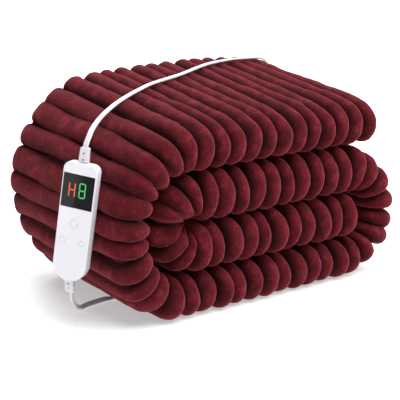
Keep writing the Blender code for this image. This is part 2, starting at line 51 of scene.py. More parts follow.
# from the floor up; a turn's reach is from its axis to the cloth's middle
ROW_THICKNESS = {"row_4": 0.0510, "row_3": 0.0570, "row_2": 0.0600, "row_1": 0.0575}
TURN_THICKNESS = {"inner_left": 0.0560, "right": 0.0470, "outer_left": 0.0500}
TURN_REACH = {"inner_left": 0.0295, "right": 0.0600, "outer_left": 0.0862}
TURN_FLAT = {"inner_left": 0.0, "right": 0.0, "outer_left": 0.0180}
CROWDING = 1.50  # the channels lie closer together on the inner turn
RIGHT_TURN_X = 0.2400
INNER_END_X = 0.2520
OUTER_END_X = 0.2800
RUN_STEP = 0.0020
RIB_PITCH = 0.0233  # one sewn channel
RIB_STEPS = 12
RIB_POWER = 2.1  # its back is a little fuller than round
SEAM_UNEVEN = 0.12  # seams are deeper or shallower by up to this share
UNEVEN = 0.035  # and stray by about this share of a channel
LEAN = 0.0022  # channels lean along the row
WANDER = 0.0012  # and wander on their way to the back
SWELL = 0.0016  # the front folds stand out unevenly
PUFFS = ((38.0, 0.0011), (120.0, 0.0005))  # soft unevenness: waves per metre, height
# how deep the seams lie on each face
VALLEY = {"out": 0.0120, "in": 0.0045, "front": 0.0150, "fold": 0.0070, "inner_hem": 0.0030,
          "outer_hem": 0.0040}
HOLLOW = (0.0200, 0.0200, 0.0500)  # the inner turn's pinched middle: radius, depth, reach inwards
HOLLOW_SPAN = (-0.0200, 0.3000)  # where it lies along the winding, from the turn's start
ROUNDING_TOP = 0.0460  # depth of the front rounding on the top row,
ROUNDING_ROW = 0.0300  # on the other rows
ROUNDING_IN = 0.0270  # and on the side that looks into the winding
OUTER_HEM_BACK = 0.0040  # how far the hems lie from the back
INNER_HEM_BACK = 0.0110
SLIT_BACK = 0.0180  # and the end of the slit inside the back fold
SLIT_MIDDLE = 0.1200  # from here on to the front the slits run straight
HEM_ROLL = 0.0040
END_ROLL = 0.0070  # the free ends are rolled over this length,
END_SHARE = 0.3  # down to this share of the thickness
CROWN = 0.150  # share by which the pile is higher at the back
CROWN_FROM = 0.030
CROWN_X = 0.150  # where it is highest
CROWN_LEFT = (0.150, 0.16)  # a width, and the share that is lost over it
CROWN_RIGHT = (0.120, 0.20)
SLUMP = 0.020  # low on the left the rows come out in front and draw in behind
SLUMP_PIVOT = 0.35
SLUMP_REACH = (0.080, 0.140)


def smooth(t):
    t = np.clip(t, 0.0, 1.0)
    return t * t * (3.0 - 2.0 * t)


def row_heights():
    z, heights = 0.0, {}
    for name, thickness in ROW_THICKNESS.items():
        heights[name] = z + thickness / 2
        z += thickness + ROW_GAP
    return heights


def run(x_from, x_to, row):
    z = row_heights()[row]
    side = 1.0 if x_to > x_from else -1.0
    samples = max(2, int(abs(x_to - x_from) / RUN_STEP))
    return [(x, z, 0.0, side, ROW_THICKNESS[row]) for x in np.linspace(x_from, x_to, samples)]


def turn(x, row_from, row_to, name, side):
    start, end = row_heights()[row_from], row_heights()[row_to]
    half, middle, reach = (end - start) / 2, (end + start) / 2, TURN_REACH[name]
    outward = math.copysign(side, side * half)
    places = []
    for angle in np.linspace(-math.pi / 2, math.pi / 2, 81):
        flat = TURN_FLAT[name] if angle < 0 else 0.0
        ends = ROW_THICKNESS[row_from] if angle < 0 else ROW_THICKNESS[row_to]
        thickness = ends + (TURN_THICKNESS[name] - ends) * float(smooth(math.cos(angle)))
        places.append((x + side * (flat + (reach - flat) * math.cos(angle)),
                       middle + half * math.sin(angle), thickness))
    samples = []
    for before, place, after in zip(places, places[1:], places[2:]):
        normal = Vector((after[1] - before[1], before[0] - after[0])).normalized() * outward
        samples.append((place[0], place[1], normal.x, normal.y, place[2]))
    return samples


def middle_line():
    inner_row = run(INNER_END_X, 0.0, "row_3")
    inner_turn = turn(0.0, "row_3", "row_2", "inner_left", -1)
    samples = inner_row + inner_turn + run(0.0, RIGHT_TURN_X, "row_2")
    samples += turn(RIGHT_TURN_X, "row_2", "row_4", "right", 1)
    samples += run(RIGHT_TURN_X, -TURN_FLAT["outer_left"], "row_4")
    samples += turn(0.0, "row_4", "row_1", "outer_left", -1)
    samples += run(0.0, OUTER_END_X, "row_1")
    line = np.array(samples)
    steps = np.hypot(np.diff(line[:, 0]), np.diff(line[:, 1]))
    steps[len(inner_row):len(inner_row) + len(inner_turn)] *= CROWDING
    return np.concatenate([[0.0], np.cumsum(steps)]), line


def folded_section():
    """The four layers cut across, as rows of: depth, depth per rounding, height in half
    thicknesses, valley depth, its inward way (depth, height), and the middle of that layer
    (depth, depth per rounding, height)."""
    gap = LAYER_GAP / MEAN_ROW
    outer, inner = 0.75, 0.25  # the middles of the outer and the inner layers
    back = DEPTH - LAYER
    rows = []

    def straight(start, end, height, valley, inward, middle, count, per=(0.0, 0.0)):
        for t in np.linspace(0.0, 1.0, count):
            depth, share = start + (end - start) * t, per[0] + (per[1] - per[0]) * t
            rows.append((depth, share, height, valley(t), 0.0, inward, depth, share, middle))

    def blend(first, second, start, end):
        return lambda t: first + (second - first) * float(smooth((t - start) / (end - start)))

    def hem(from_back, middle, half, valley):
        for degrees in (60, 20, -20, -60):
            angle = math.radians(degrees)
            rows.append((DEPTH - from_back - HEM_ROLL * (1 - math.cos(angle)), 0.0,
                         middle + half * math.sin(angle), valley, -1.0, 0.0,
                         DEPTH - from_back - HEM_ROLL, 0.0, middle))

    straight(DEPTH - OUTER_HEM_BACK - HEM_ROLL, ROUNDING_IN, -1.0,
             blend(VALLEY["in"], 0.8 * VALLEY["front"], 0.75, 1.0), 1.0, -outer, 12)
    for degrees in np.linspace(-90, 90, 23)[1:-1]:
        angle = math.radians(degrees)
        bow = 1 - math.cos(angle)
        own, per = (ROUNDING_IN * bow, 0.0) if degrees < 0 else (0.0, bow)
        rows.append((own, per, math.sin(angle), VALLEY["front"], math.cos(angle), -math.sin(angle),
                     LAYER / 2 + outer * own, outer * per, outer * math.sin(angle)))
    straight(0.0, back, 1.0, blend(VALLEY["front"], VALLEY["out"], 0.0, 0.3), -1.0, outer, 26, (1.0, 0.0))
    for degrees in np.linspace(90, -90, 10)[1:-1]:
        angle = math.radians(degrees)
        rows.append((back + LAYER * math.cos(angle), 0.0, 0.5 + 0.5 * math.sin(angle), VALLEY["fold"],
                     -math.cos(angle), -math.sin(angle), back + LAYER / 2 * math.cos(angle), 0.0,
                     0.5 + 0.25 * math.sin(angle)))
    inner_hem, outer_hem = DEPTH - INNER_HEM_BACK - HEM_ROLL, DEPTH - OUTER_HEM_BACK - HEM_ROLL
    straight(back, 2 * LAYER, gap / 2, lambda t: 0.0, 0.0, inner, 4)
    straight(2 * LAYER, inner_hem, -gap / 2, lambda t: 0.0, 0.0, -inner, 4)
    hem(INNER_HEM_BACK, -inner, 0.22, VALLEY["inner_hem"])
    straight(inner_hem, SLIT_MIDDLE, -0.5 + gap / 2, lambda t: 0.0, 0.0, -inner, 3)
    for side, layer in ((1, inner), (-1, outer)):
        inset = LAYER + side * LAYER_GAP / 2
        for degrees in np.linspace(-90 * side, 90 * side, 7):
            angle = math.radians(degrees)
            bow = 0.5 * (1 - math.cos(angle))
            rows.append((inset, bow, (0.5 - side * gap / 2) * math.sin(angle), 0.0, 0.0, 0.0,
                         inset, bow, layer * math.sin(angle)))
        if side > 0:
            slit = DEPTH - SLIT_BACK
            for way, beside in ((-1, inner), (1, outer)):
                rows.append((slit, 0.0, 0.5 + way * gap / 2, 0.0, 0.0, 0.0, slit, 0.0, beside))
    straight(SLIT_MIDDLE, outer_hem, -0.5 - gap / 2, lambda t: 0.0, 0.0, -outer, 3)
    hem(OUTER_HEM_BACK, -outer, 0.25, VALLEY["outer_hem"])
    return np.array(rows).T


def rib_stations(total):
    """Length, valley share and rib number of each station; close together by the seams."""
    ribs = round(total / RIB_PITCH)
    edges = []
    for rib in range(ribs + 1):
        stray = UNEVEN * math.sin(2.4 * rib) + 0.5 * UNEVEN * math.sin(5.1 * rib + 1.0)
        edges.append((rib + (stray if 0 < rib < ribs else 0.0)) * total / ribs)
    stations = []
    for rib, (start, end) in enumerate(zip(edges, edges[1:])):
        for step in range(RIB_STEPS):
            share = 0.5 - 0.5 * math.cos(math.pi * step / RIB_STEPS)
            drop = 1 - math.sqrt(max(1 - abs(2 * share - 1) ** RIB_POWER, 0.0))
            stations.append((start + (end - start) * share, drop, rib))
    stations.append((total, 1.0, ribs))
    return np.array(stations).T


def crown(x, depth):
    left = x < CROWN_X
    width = np.where(left, CROWN_LEFT[0], CROWN_RIGHT[0])
    share = np.where(left, CROWN_LEFT[1], CROWN_RIGHT[1])
    across = np.maximum(1.0 - share * ((x - CROWN_X) / width) ** 2, 0.0)
    along = np.maximum(depth - CROWN_FROM, 0.0) / (DEPTH - CROWN_FROM)
    return 1.0 + CROWN * across * along


def throw_surface():
    """Places, seam depth and unfolded coordinates of every point of the plush surface."""
    lengths, line = middle_line()
    total = lengths[-1]
    own, per, height, valley, in_depth, in_height, mid_own, mid_per, mid_height = folded_section()
    station, drop, rib = (column[:, None] for column in rib_stations(total))
    top_starts = total - OUTER_END_X - TURN_REACH["outer_left"] * math.pi
    rounding = ROUNDING_ROW + (ROUNDING_TOP - ROUNDING_ROW) * smooth(
        (station - top_starts) / (TURN_REACH["outer_left"] * math.pi))
    shifted = station + LEAN * np.sin(1.9 * rib + 0.5) * height
    shifted = shifted + WANDER * np.sin(9.0 * own / DEPTH + 2.3 * rib)
    x, z, normal_x, normal_z, thickness = (np.interp(shifted, lengths, line[:, c]) for c in range(5))
    groove = drop * valley * (1.0 + SEAM_UNEVEN * np.sin(3.7 * rib))
    depth = own + per * rounding + groove * in_depth
    up = height * thickness / 2 + groove * in_height
    depth = depth + SWELL * np.sin(2.3 * rib) * (1 - depth / DEPTH)
    to_end = np.minimum(station, total - station)
    rounded = np.sqrt(np.clip(1 - (1 - np.clip(to_end / END_ROLL, 0, 1)) ** 2, 0, 1))
    roll = END_SHARE + (1 - END_SHARE) * rounded
    middle_depth, middle_up = mid_own + mid_per * rounding, mid_height * thickness / 2
    depth = middle_depth + (depth - middle_depth) * roll
    up = middle_up + (up - middle_up) * roll
    px, pz = x + normal_x * up, z + normal_z * up
    pinch = (row_heights()["row_3"] + row_heights()["row_2"]) / 2
    to_pinch = np.hypot(np.maximum(px, 0.0), pz - pinch)
    on_turn = (station > INNER_END_X + HOLLOW_SPAN[0]) & (station < INNER_END_X + HOLLOW_SPAN[1])
    hollow = HOLLOW[1] * smooth(1 - to_pinch / HOLLOW[0]) * smooth(1 - depth / HOLLOW[2]) * on_turn
    depth = depth + hollow
    pz = np.maximum(pz * crown(px, depth), 0.0)
    across = np.clip(-px / SLUMP_REACH[0], 0.0, 1.0)
    px = px + SLUMP * across * np.maximum(1 - pz / SLUMP_REACH[1], 0.0) * (depth / DEPTH - SLUMP_PIVOT)
    places = np.stack([AXIS_X + px, FRONT_Y + depth, pz], axis=-1)
    around = np.concatenate([[0.0], np.cumsum(np.hypot(np.diff(own + per * ROUNDING_ROW),
                                                       np.diff(height) * MEAN_ROW / 2))])
    flat = np.stack(np.broadcast_arrays(station, around[None, :]), axis=-1)
    return places, groove / VALLEY["out"], flat


def rolled_up(body, rings, corners):
    """A grid's vertices, each with the ring and the corner of the tube that it becomes."""
    bmesh.ops.create_grid(body, x_segments=rings - 1, y_segments=corners, size=0.5)
    for vertex in body.verts:
        ring, corner = round((vertex.co.x + 0.5) * (rings - 1)), round((vertex.co.y + 0.5) * corners)
        yield vertex, ring, corner % corners


def close_tube(body):
    """Join the rolled grid's edges and fill the tube's ends."""
    bmesh.ops.remove_doubles(body, verts=body.verts, dist=1e-7)
    bmesh.ops.holes_fill(body, edges=[e for e in body.edges if e.is_boundary], sides=0)
    bmesh.ops.recalc_face_normals(body, faces=body.faces)


def made(body, place=Matrix.Identity(4), sharp=35.0):
    """The finished mesh, moved to its place and shaded smooth up to the angle given."""
    bmesh.ops.transform(body, matrix=place, verts=body.verts)
    mesh = bpy.data.meshes.new("mesh")
    body.to_mesh(mesh)
    body.free()
    mesh.shade_smooth()
    mesh.set_sharp_from_angle(angle=math.radians(sharp))
    return mesh


def throw_mesh():
    places, seam, flat = throw_surface()
    cloth = bmesh.new()
    # the seam depth, kept on each vertex for the shade painted into the seams
    seam_shade_depth = cloth.verts.layers.float.new("seam")
    unfolded = cloth.loops.layers.uv.new("unfolded")
    for vertex, station, corner in rolled_up(cloth, *places.shape[:2]):
        vertex.co = places[station, corner]
        vertex[seam_shade_depth] = seam[station, corner]
        for loop in vertex.link_loops:
            loop[unfolded].uv = flat[station, corner]
    close_tube(cloth)
    for vertex in cloth.verts:
        puff = sum(noise.noise(vertex.co * waves) * height for waves, height in PUFFS)
        vertex.co += vertex.normal * puff
        vertex.co.z = max(vertex.co.z, 0.0)
    return made(cloth, sharp=180.0)


def linear(hexcode):
    """sRGB hex to a linear colour."""
    values = [int(hexcode[i:i + 2], 16) / 255 for i in (1, 3, 5)]
    return tuple(v / 12.92 if v <= 0.04045 else ((v + 0.055) / 1.055) ** 2.4 for v in values) + (1.0,)


def new_material(name, constants):
    """A material and its shader, with the constants on the shader's own sockets."""
    material = bpy.data.materials.new(name)
    material.use_nodes = True
    shader = material.node_tree.nodes["Principled BSDF"]
    for socket, value in constants.items():
        shader.inputs[socket].default_value = value
    return material, shader


def add_node(owner, kind, links=(), **settings):
    """A node with its settings; links are (input name or number, socket) pairs."""
    node = owner.node_tree.nodes.new("ShaderNode" + kind)
    for name, value in settings.items():
        if name.startswith("in_"):
            node.inputs[int(name[3:]) if name[3:].isdigit() else name[3:]].default_value = value
        else:
            setattr(node, name, value)
    for target, socket in links:
        owner.node_tree.links.new(socket, node.inputs[target])
    return node


def link(owner, socket, shader, name):
    owner.node_tree.links.new(socket, shader.inputs[name])


CLOUDS = 0.015625  # brushed patches of the nap
TUFTS = 0.0020833  # its tufts
FIBRES = 0.00066667  # its fibres: far finer in fact, drawn as coarse as they have to be to show


def plush_material():
    """Flannel plush: dense short nap, so the crests look paler at grazing angles.  Shade is painted
    into the seams: the base colour darkens nearly to black by their depth.  Brushed patches make the nap
    cloudy."""
    plush, shader = new_material("burgundy flannel plush", {
        "Roughness": 0.95, "Specular IOR Level": 0.15, "Sheen Weight": 0.86, "Sheen Roughness": 0.28,
        "Sheen Tint": linear("#ee6c7a")})
    place = add_node(plush, "TexCoord").outputs["Object"]
    clouds = add_node(plush, "TexNoise", [("Vector", place)], in_Scale=1 / CLOUDS,
                      in_Detail=4.0, in_Roughness=0.62)
    nap = add_node(plush, "TexNoise", [("Vector", place)], in_Scale=1 / TUFTS,
                   in_Detail=3.0, in_Roughness=0.6)
    blend = add_node(plush, "Math", [(0, nap.outputs["Fac"]), (2, clouds.outputs["Fac"])],
                     operation="MULTIPLY_ADD", in_1=0.50)
    tone = add_node(plush, "ValToRGB", [("Fac", blend.outputs[0])])
    stops = tone.color_ramp.elements
    stops[0].position, stops[0].color = 0.52, linear("#380a0f")
    stops[1].position, stops[1].color = 0.79, linear("#581118")
    stops.new(0.99).color = linear("#73242e")
    # painted shade in the seams: by the seam depth the base colour is mixed towards near black
    seam = add_node(plush, "Attribute", attribute_name="seam")
    painted_seam_shade = add_node(plush, "MapRange", [("Value", seam.outputs["Fac"])], in_1=0.05, in_2=0.70,
                    in_3=0.0, in_4=0.85)
    colour = add_node(plush, "Mix", [(0, painted_seam_shade.outputs[0]), (6, tone.outputs["Color"])],
                      data_type="RGBA", in_7=linear("#1c0508"))
    link(plush, colour.outputs[2], shader, "Base Color")
    fibres = add_node(plush, "TexNoise", [("Vector", place)], in_Scale=1 / FIBRES, in_Detail=2.0)
    bump = add_node(plush, "Bump", [("Height", fibres.outputs["Fac"])], in_Strength=0.5, in_Distance=0.0006)
    tufts = add_node(plush, "Bump", [("Height", nap.outputs["Fac"]), ("Normal", bump.outputs[0])],
                     in_Strength=0.7, in_Distance=0.0014)
    link(plush, tufts.outputs[0], shader, "Normal")
    return plush


def add_object(name, data):
    data.name = name
    thing = bpy.data.objects.new(name, data)
    bpy.context.scene.collection.objects.link(thing)
    return thing


def piece(name, mesh, material, slot, *nodes, body="throw"):
    """A finished piece that rides on its body and stands for the CAD nodes named."""
    mesh.materials.append(material)
    thing = add_object(name, mesh)
    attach(thing, body)
    if nodes:
        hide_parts(*nodes)
    return thing


throw = piece("throw", throw_mesh(), plush_material(), "plush", "blanket")

# ---------------------------------------- the control's two halves
# The hand control's case is moulded in gloss white ABS, in two halves that snap together.  It
# lies on the throw's left side, hung from the mains lead.
CONTROL_WIDTH = 0.0405
CONTROL_LENGTH = 0.1360
CONTROL_DEPTH = 0.0146
FRONT_SHELL_DEPTH = 0.0073
CONTROL_TOP_RADIUS = 0.0085
CONTROL_PLACE = (-0.1343, 0.0593, 0.1266)
CONTROL_FACING = math.radians(33.5)
CONTROL_TILT = math.radians(-7.5)
CONTROL_LEAN = math.radians(-3.0)
WINDOW_SIZE = (0.0372, 0.0380, 0.0012)
WINDOW_Y = 0.0360
WINDOW_SEAT_CORNER = 0.0006
RUNNING_GAP = 0.0003
HAIR = 0.0001  # the least radius, and the step inside a face's rounded edge
FACE_EDGE = 0.0011  # the window leaves only a narrow margin
BACK_EDGE = 0.0032
SEAM_EDGE = (0.0003, 0.0002)  # bevel along the seam of the halves: inwards, up the wall
KEYS = {"power_button": (0.0, -0.0012, 0.0046), "lower_heat_button": (-0.0117, -0.0217, 0.0030),
        "raise_heat_button": (0.0117, -0.0217, 0.0030)}  # across the face, up it, radius
SEAT_DEPTH = 0.0021
MOULD_GRAIN = 0.0011111  # finer in fact, drawn as coarse as it has to be to show


def control_frame():
    """The control's own axes: +X across its face, +Y up it, +Z out of it."""
    x, y, z = CONTROL_PLACE
    upright = Matrix((
        (math.sin(CONTROL_FACING), 0.0, -math.cos(CONTROL_FACING)),
        (-math.cos(CONTROL_FACING), 0.0, -math.sin(CONTROL_FACING)),
        (0.0, 1.0, 0.0),
    ))
    leant = upright @ Euler((CONTROL_LEAN, 0.0, CONTROL_TILT)).to_matrix()
    return Matrix.Translation((AXIS_X + x, FRONT_Y + y, z)) @ leant.to_4x4()


def mottled(material, shader, socket, low, high, size, detail):
    """Cloudy patches of the size given move one of the shader's values between low and high."""
    place = add_node(material, "TexCoord").outputs["Object"]
    patches = add_node(material, "TexNoise", [("Vector", place)], in_Scale=1 / size, in_Detail=detail)
    value = add_node(material, "MapRange", [("Value", patches.outputs["Fac"])], in_1=0.3, in_2=0.7,
                     in_3=low, in_4=high)
    link(material, value.outputs[0], shader, socket)
    return patches.outputs["Fac"]


def plain_material(name, colour, roughness, coat=0.0, speckle=0.0):
    """One colour right through, with a faint grain from the mould in its gloss."""
    material, shader = new_material(name, {"Base Color": linear(colour), "Coat Weight": coat,
                                           "Coat Roughness": 0.06})
    grain = mottled(material, shader, "Roughness", roughness - 0.04, roughness + 0.05, MOULD_GRAIN, 2.0)
    if speckle:
        bump = add_node(material, "Bump", [("Height", grain)], in_Strength=speckle, in_Distance=0.00005)
        link(material, bump.outputs[0], shader, "Normal")
    return material


CONTROL = control_frame()
SHELL_SIZE = (CONTROL_WIDTH, CONTROL_LENGTH, CONTROL_TOP_RADIUS, CONTROL_WIDTH / 2)


def outline(width, length, top_radius, bottom_radius, inset=0.0, steps=14):
    """An upright rounded rectangle as (x, y), drawn in all round by inset."""
    places = []
    for side_x, side_y, radius, start in ((1, 1, top_radius, 0), (-1, 1, top_radius, 90),
                                          (-1, -1, bottom_radius, 180), (1, -1, bottom_radius, 270)):
        middle = (side_x * (width / 2 - radius), side_y * (length / 2 - radius))
        reach = max(radius - inset, HAIR)
        for degrees in np.linspace(start, start + 90, steps):
            angle = math.radians(degrees)
            places.append((middle[0] + reach * math.cos(angle), middle[1] + reach * math.sin(angle)))
    return places


def circle(x, y, radius, steps=40):
    turns = np.linspace(0.0, 2 * math.pi, steps, endpoint=False)
    return [(x + radius * math.cos(a), y + radius * math.sin(a)) for a in turns]


def loop(body, places, z):
    corners = [body.verts.new((x, y, z)) for x, y in places]
    return [body.edges.new(pair) for pair in zip(corners, corners[1:] + corners[:1])]


def draw_out(body, edges, before, after, z):
    """Extrude a closed loop of edges from the places before to the places after, at height z."""
    fresh = bmesh.ops.extrude_edge_only(body, edges=edges)["geom"]
    known = np.array(before)
    for corner in fresh:
        if isinstance(corner, bmesh.types.BMVert):
            nearest = int(np.argmin(np.hypot(*(known - corner.co.xy).T)))
            corner.co = (*after[nearest], z)
    return [part for part in fresh if isinstance(part, bmesh.types.BMEdge)]


def rounding(edge, top, down=True, steps=6):
    """Levels (inset, z) of a rounded edge, from a flat face at z = top round to the wall."""
    turn_by = [math.radians(90 * step / steps) for step in range(steps + 1)]
    levels = [(edge * (1 - math.sin(a)), top - edge * (1 - math.cos(a))) for a in turn_by]
    levels = [(edge + HAIR, top)] + levels
    return levels if down else [(inset, 2 * top - z) for inset, z in reversed(levels)]


def plate(size, levels, seats=()):
    """A rounded plate drawn through its levels (inset, z), closed at both ends.  Seats are
    sunk into its first face: (places, depth), or with no depth right through it."""
    body = bmesh.new()
    before = outline(*size, levels[0][0])
    rim = loop(body, before, levels[0][1])
    holes = [loop(body, places, levels[0][1]) for places, depth in seats]
    bmesh.ops.triangle_fill(body, edges=rim + sum(holes, []), use_beauty=True)
    for inset, z in levels[1:]:
        after = outline(*size, inset)
        rim = draw_out(body, rim, before, after, z)
        before = after
    for (places, depth), hole in zip(seats, holes):
        z = levels[0][1] - depth if depth else levels[-1][1]
        foot = draw_out(body, hole, places, places, z)
        if depth:
            bmesh.ops.triangle_fill(body, edges=foot, use_beauty=True)
        else:
            rim += foot
    bmesh.ops.triangle_fill(body, edges=rim, use_beauty=True)
    bmesh.ops.recalc_face_normals(body, faces=body.faces)
    return body


def turned(profile, steps=40):
    """A piece turned about Z from its profile, (radius, z) each; both ends lie on the axis."""
    body = bmesh.new()
    corners = [body.verts.new((radius, 0.0, z)) for radius, z in profile]
    edges = [body.edges.new(pair) for pair in zip(corners, corners[1:])]
    bmesh.ops.spin(body, geom=corners + edges, axis=(0, 0, 1), cent=(0, 0, 0), angle=2 * math.pi,
                   steps=steps, use_merge=True)
    bmesh.ops.remove_doubles(body, verts=body.verts, dist=1e-6)
    bmesh.ops.recalc_face_normals(body, faces=body.faces)
    return body


def at(x, y, z):
    return CONTROL @ Matrix.Translation((x, y, z))


# polished in the mould, so soft bright streaks run along its rounded edges
SHELL = plain_material("gloss white ABS", "#dedce1", 0.28, 0.2)
front_levels = rounding(FACE_EDGE, 0.0) + [(0.0, -FRONT_SHELL_DEPTH + SEAM_EDGE[1]),
                                           (SEAM_EDGE[0], -FRONT_SHELL_DEPTH)]
window_seat = outline(WINDOW_SIZE[0] + 2 * RUNNING_GAP, WINDOW_SIZE[1] + 2 * RUNNING_GAP,
                      WINDOW_SEAT_CORNER, WINDOW_SEAT_CORNER, 0.0, 3)
seats = [([(x, y + WINDOW_Y) for x, y in window_seat], WINDOW_SIZE[2] + RUNNING_GAP)]
seats += [(circle(x, y, radius + RUNNING_GAP), SEAT_DEPTH) for x, y, radius in KEYS.values()]
piece("front_shell", made(plate(SHELL_SIZE, front_levels, seats), CONTROL), SHELL, "shell",
      "control_front_shell")
back_top = -FRONT_SHELL_DEPTH - RUNNING_GAP
back_levels = [(SEAM_EDGE[0], back_top), (0.0, back_top - SEAM_EDGE[1])]
back_levels += rounding(BACK_EDGE, -CONTROL_DEPTH, False)
piece("back_shell", made(plate(SHELL_SIZE, back_levels), CONTROL), SHELL, "shell", "control_back_shell")

# ---------------------------------------- the display's window
# A thin pane of smoked acrylic with polished faces, let into its seat in the front half so that
# the two are flush.
WINDOW_CORNER = 0.0005
WINDOW_EDGE = 0.0002
WIPE_MARKS = 0.0111111


def window_material():
    """Smoked acrylic: nearly black and polished like glass, so it mirrors what is pale faintly,
    a little dulled where it has been wiped."""
    acrylic, shader = new_material("smoked acrylic", {"Base Color": linear("#0f0f11"), "IOR": 1.49,
                                                      "Specular IOR Level": 0.10})
    mottled(acrylic, shader, "Roughness", 0.03, 0.07, WIPE_MARKS, 1.0)
    return acrylic


pane = plate((*WINDOW_SIZE[:2], WINDOW_CORNER, WINDOW_CORNER),
             rounding(WINDOW_EDGE, 0.0, True, 2) + [(0.0, -WINDOW_SIZE[2])])
piece("window", made(pane, at(0.0, WINDOW_Y, 0.0)), window_material(), "window", "display_window")

# ---------------------------------------- the lit figures
# Bars of a lit display that shine through the window: a red letter and a green numeral.  They
# are drawn just proud of the pane.
FIGURE_SIZE = (0.0068, 0.0160)
BAR = 0.0014
BAR_GAP = 0.0003
FIGURE_PROUD = 0.00006
LAMP_GRAIN = 0.0014286
# each figure: its middle across the window and up it, its lit bars, its colour
FIGURES = {
    "heat_letter": (-0.0071, 0.0010, "left right low_left low_right middle", "#ff5a3c"),
    "heat_level": (0.0052, 0.0018, "top left right low_left low_right middle bottom", "#35cf6c"),
}
# each bar: its middle across and up in half figures, and whether it stands
BARS = {"top": (0, 1, False), "middle": (0, 0, False), "bottom": (0, -1, False), "left": (-1, 0.5, True),
        "right": (1, 0.5, True), "low_left": (-1, -0.5, True), "low_right": (1, -0.5, True)}


def lit_bar(body, x, y, length, upright):
    half, end = BAR / 2, length / 2
    places = [(-end, 0.0), (half - end, half), (end - half, half), (end, 0.0), (end - half, -half),
              (half - end, -half)]
    if upright:
        places = [(-across, along) for along, across in places]
    edges = loop(body, [(x + a, y + b) for a, b in places], FIGURE_PROUD)
    bmesh.ops.triangle_fill(body, edges=edges)


def lamp_material(name, colour):
    """Light-emitting display bars under the window: even light of one colour, faintly mottled."""
    lamp, shader = new_material(name, {"Base Color": linear("#101012"),
                                       "Emission Color": linear(colour), "Roughness": 0.4})
    mottled(lamp, shader, "Emission Strength", 0.9, 1.1, LAMP_GRAIN, 1.0)
    return lamp


for name, (x, y, bars, colour) in FIGURES.items():
    figure = bmesh.new()
    half_width, half_height = FIGURE_SIZE[0] / 2, FIGURE_SIZE[1] / 2
    for bar in bars.split():
        across, up, upright = BARS[bar]
        length = (half_height if upright else FIGURE_SIZE[0]) - BAR_GAP
        lit_bar(figure, across * half_width, up * half_height, length, upright)
    bmesh.ops.recalc_face_normals(figure, faces=figure.faces)
    piece(name, made(figure, at(x, y + WINDOW_Y, 0.0)), lamp_material(name + " lamp", colour), "window")

# ---------------------------------------- the keys
# Three round caps of white rubber, each moulded with a low dome and let into its own pocket.
# Each presses in on its own: the power key, and two smaller ones for more and less heat.
KEY_BODIES = {"power_button": "power_key", "lower_heat_button": "lower_heat_key",
              "raise_heat_button": "raise_heat_key"}
KEY_PROUD = 0.0008
KEY_RIM = 0.0002  # how far the foot of its dome stands proud
KEY_DOME_POWER = 0.8
KEY_FOOT = -0.0012
# satin from the mould: a wide soft highlight, duller than the case
KEY_RUBBER = plain_material("white key rubber", "#e2e0e5", 0.42)
for name, (x, y, radius) in KEYS.items():
    dome = [(radius * math.sin(a), KEY_RIM + (KEY_PROUD - KEY_RIM) * math.cos(a) ** KEY_DOME_POWER)
            for a in np.linspace(0.0, math.pi / 2, 9)]
    cap = turned(dome + [(radius, KEY_FOOT), (0.0, KEY_FOOT)])
    piece(name + "_cap", made(cap, at(x, y, 0.0)), KEY_RUBBER, "button", name, body=KEY_BODIES[name])

# ---------------------------------------- the strain reliefs
# Flexible white PVC, moulded on each lead where it goes into the case, and held between its
# halves.  Each narrows outwards and has two dimples that let it bend.
RELIEFS = {"relief_upper": (1, 0.0170), "relief_lower": (-1, 0.0140)}  # which end, and length
RELIEF_WIDTH = (0.0112, 0.0100)  # at the case, at the tip
RELIEF_DEPTH = (0.0072, 0.0060)
RELIEF_EDGE = 0.0010
RELIEF_CORNER = 0.0016
RELIEF_BEND = {"relief_upper": 0.0, "relief_lower": 0.0022}  # it gives way to the lead's pull
# the dimples' places along each, their radius and depth
DIMPLES = {"relief_upper": (0.0034, 0.0105, 0.0012, 0.0030),
           "relief_lower": (0.0036, 0.0088, 0.0010, 0.0016)}
# soft plastic with a satin skin: one dull streak of light along each round
PVC = plain_material("white PVC", "#d4d2d7", 0.36)
for name, (side, length) in RELIEFS.items():
    *places, radius, depth = DIMPLES[name]
    holes = [(circle(0.0, side * (place - length / 2), radius, 16), depth) for place in places]
    levels = rounding(RELIEF_EDGE, RELIEF_DEPTH[0] / 2, True, 4)
    levels += rounding(RELIEF_EDGE, -RELIEF_DEPTH[0] / 2, False, 4)
    grip = plate((RELIEF_WIDTH[0], length, RELIEF_CORNER, RELIEF_CORNER), levels, holes)
    for corner in grip.verts:
        share = 0.5 + side * corner.co.y / length
        corner.co.x *= 1 - (1 - RELIEF_WIDTH[1] / RELIEF_WIDTH[0]) * share
        corner.co.z *= 1 - (1 - RELIEF_DEPTH[1] / RELIEF_DEPTH[0]) * share
        corner.co.x += RELIEF_BEND[name] * share ** 2
    middle = side * (CONTROL_LENGTH / 2 + RUNNING_GAP + length / 2)
    piece(name + "_grip", made(grip, at(0.0, middle, -CONTROL_DEPTH / 2)), PVC, "lead", name)

# ---------------------------------------- the mains lead
# Flat twin lead, two cores side by side in white PVC.  It leaves the top of the control, runs
# over the pile and down behind it, and its spare length is wound in a coil before the plug.
LEAD_WIDTH = 0.0062
LEAD_THICKNESS = 0.0033
LEAD_POWER = 0.75  # its rounds are a little squared
LEAD_GROOVE = (0.38, 0.26)  # depth and width of the groove, in half thicknesses and half widths
LEAD_SINK = 0.0025 - LEAD_THICKNESS / 2  # the solid's tube is round, this lead lies flatter
LEAD_STEP = 0.0028
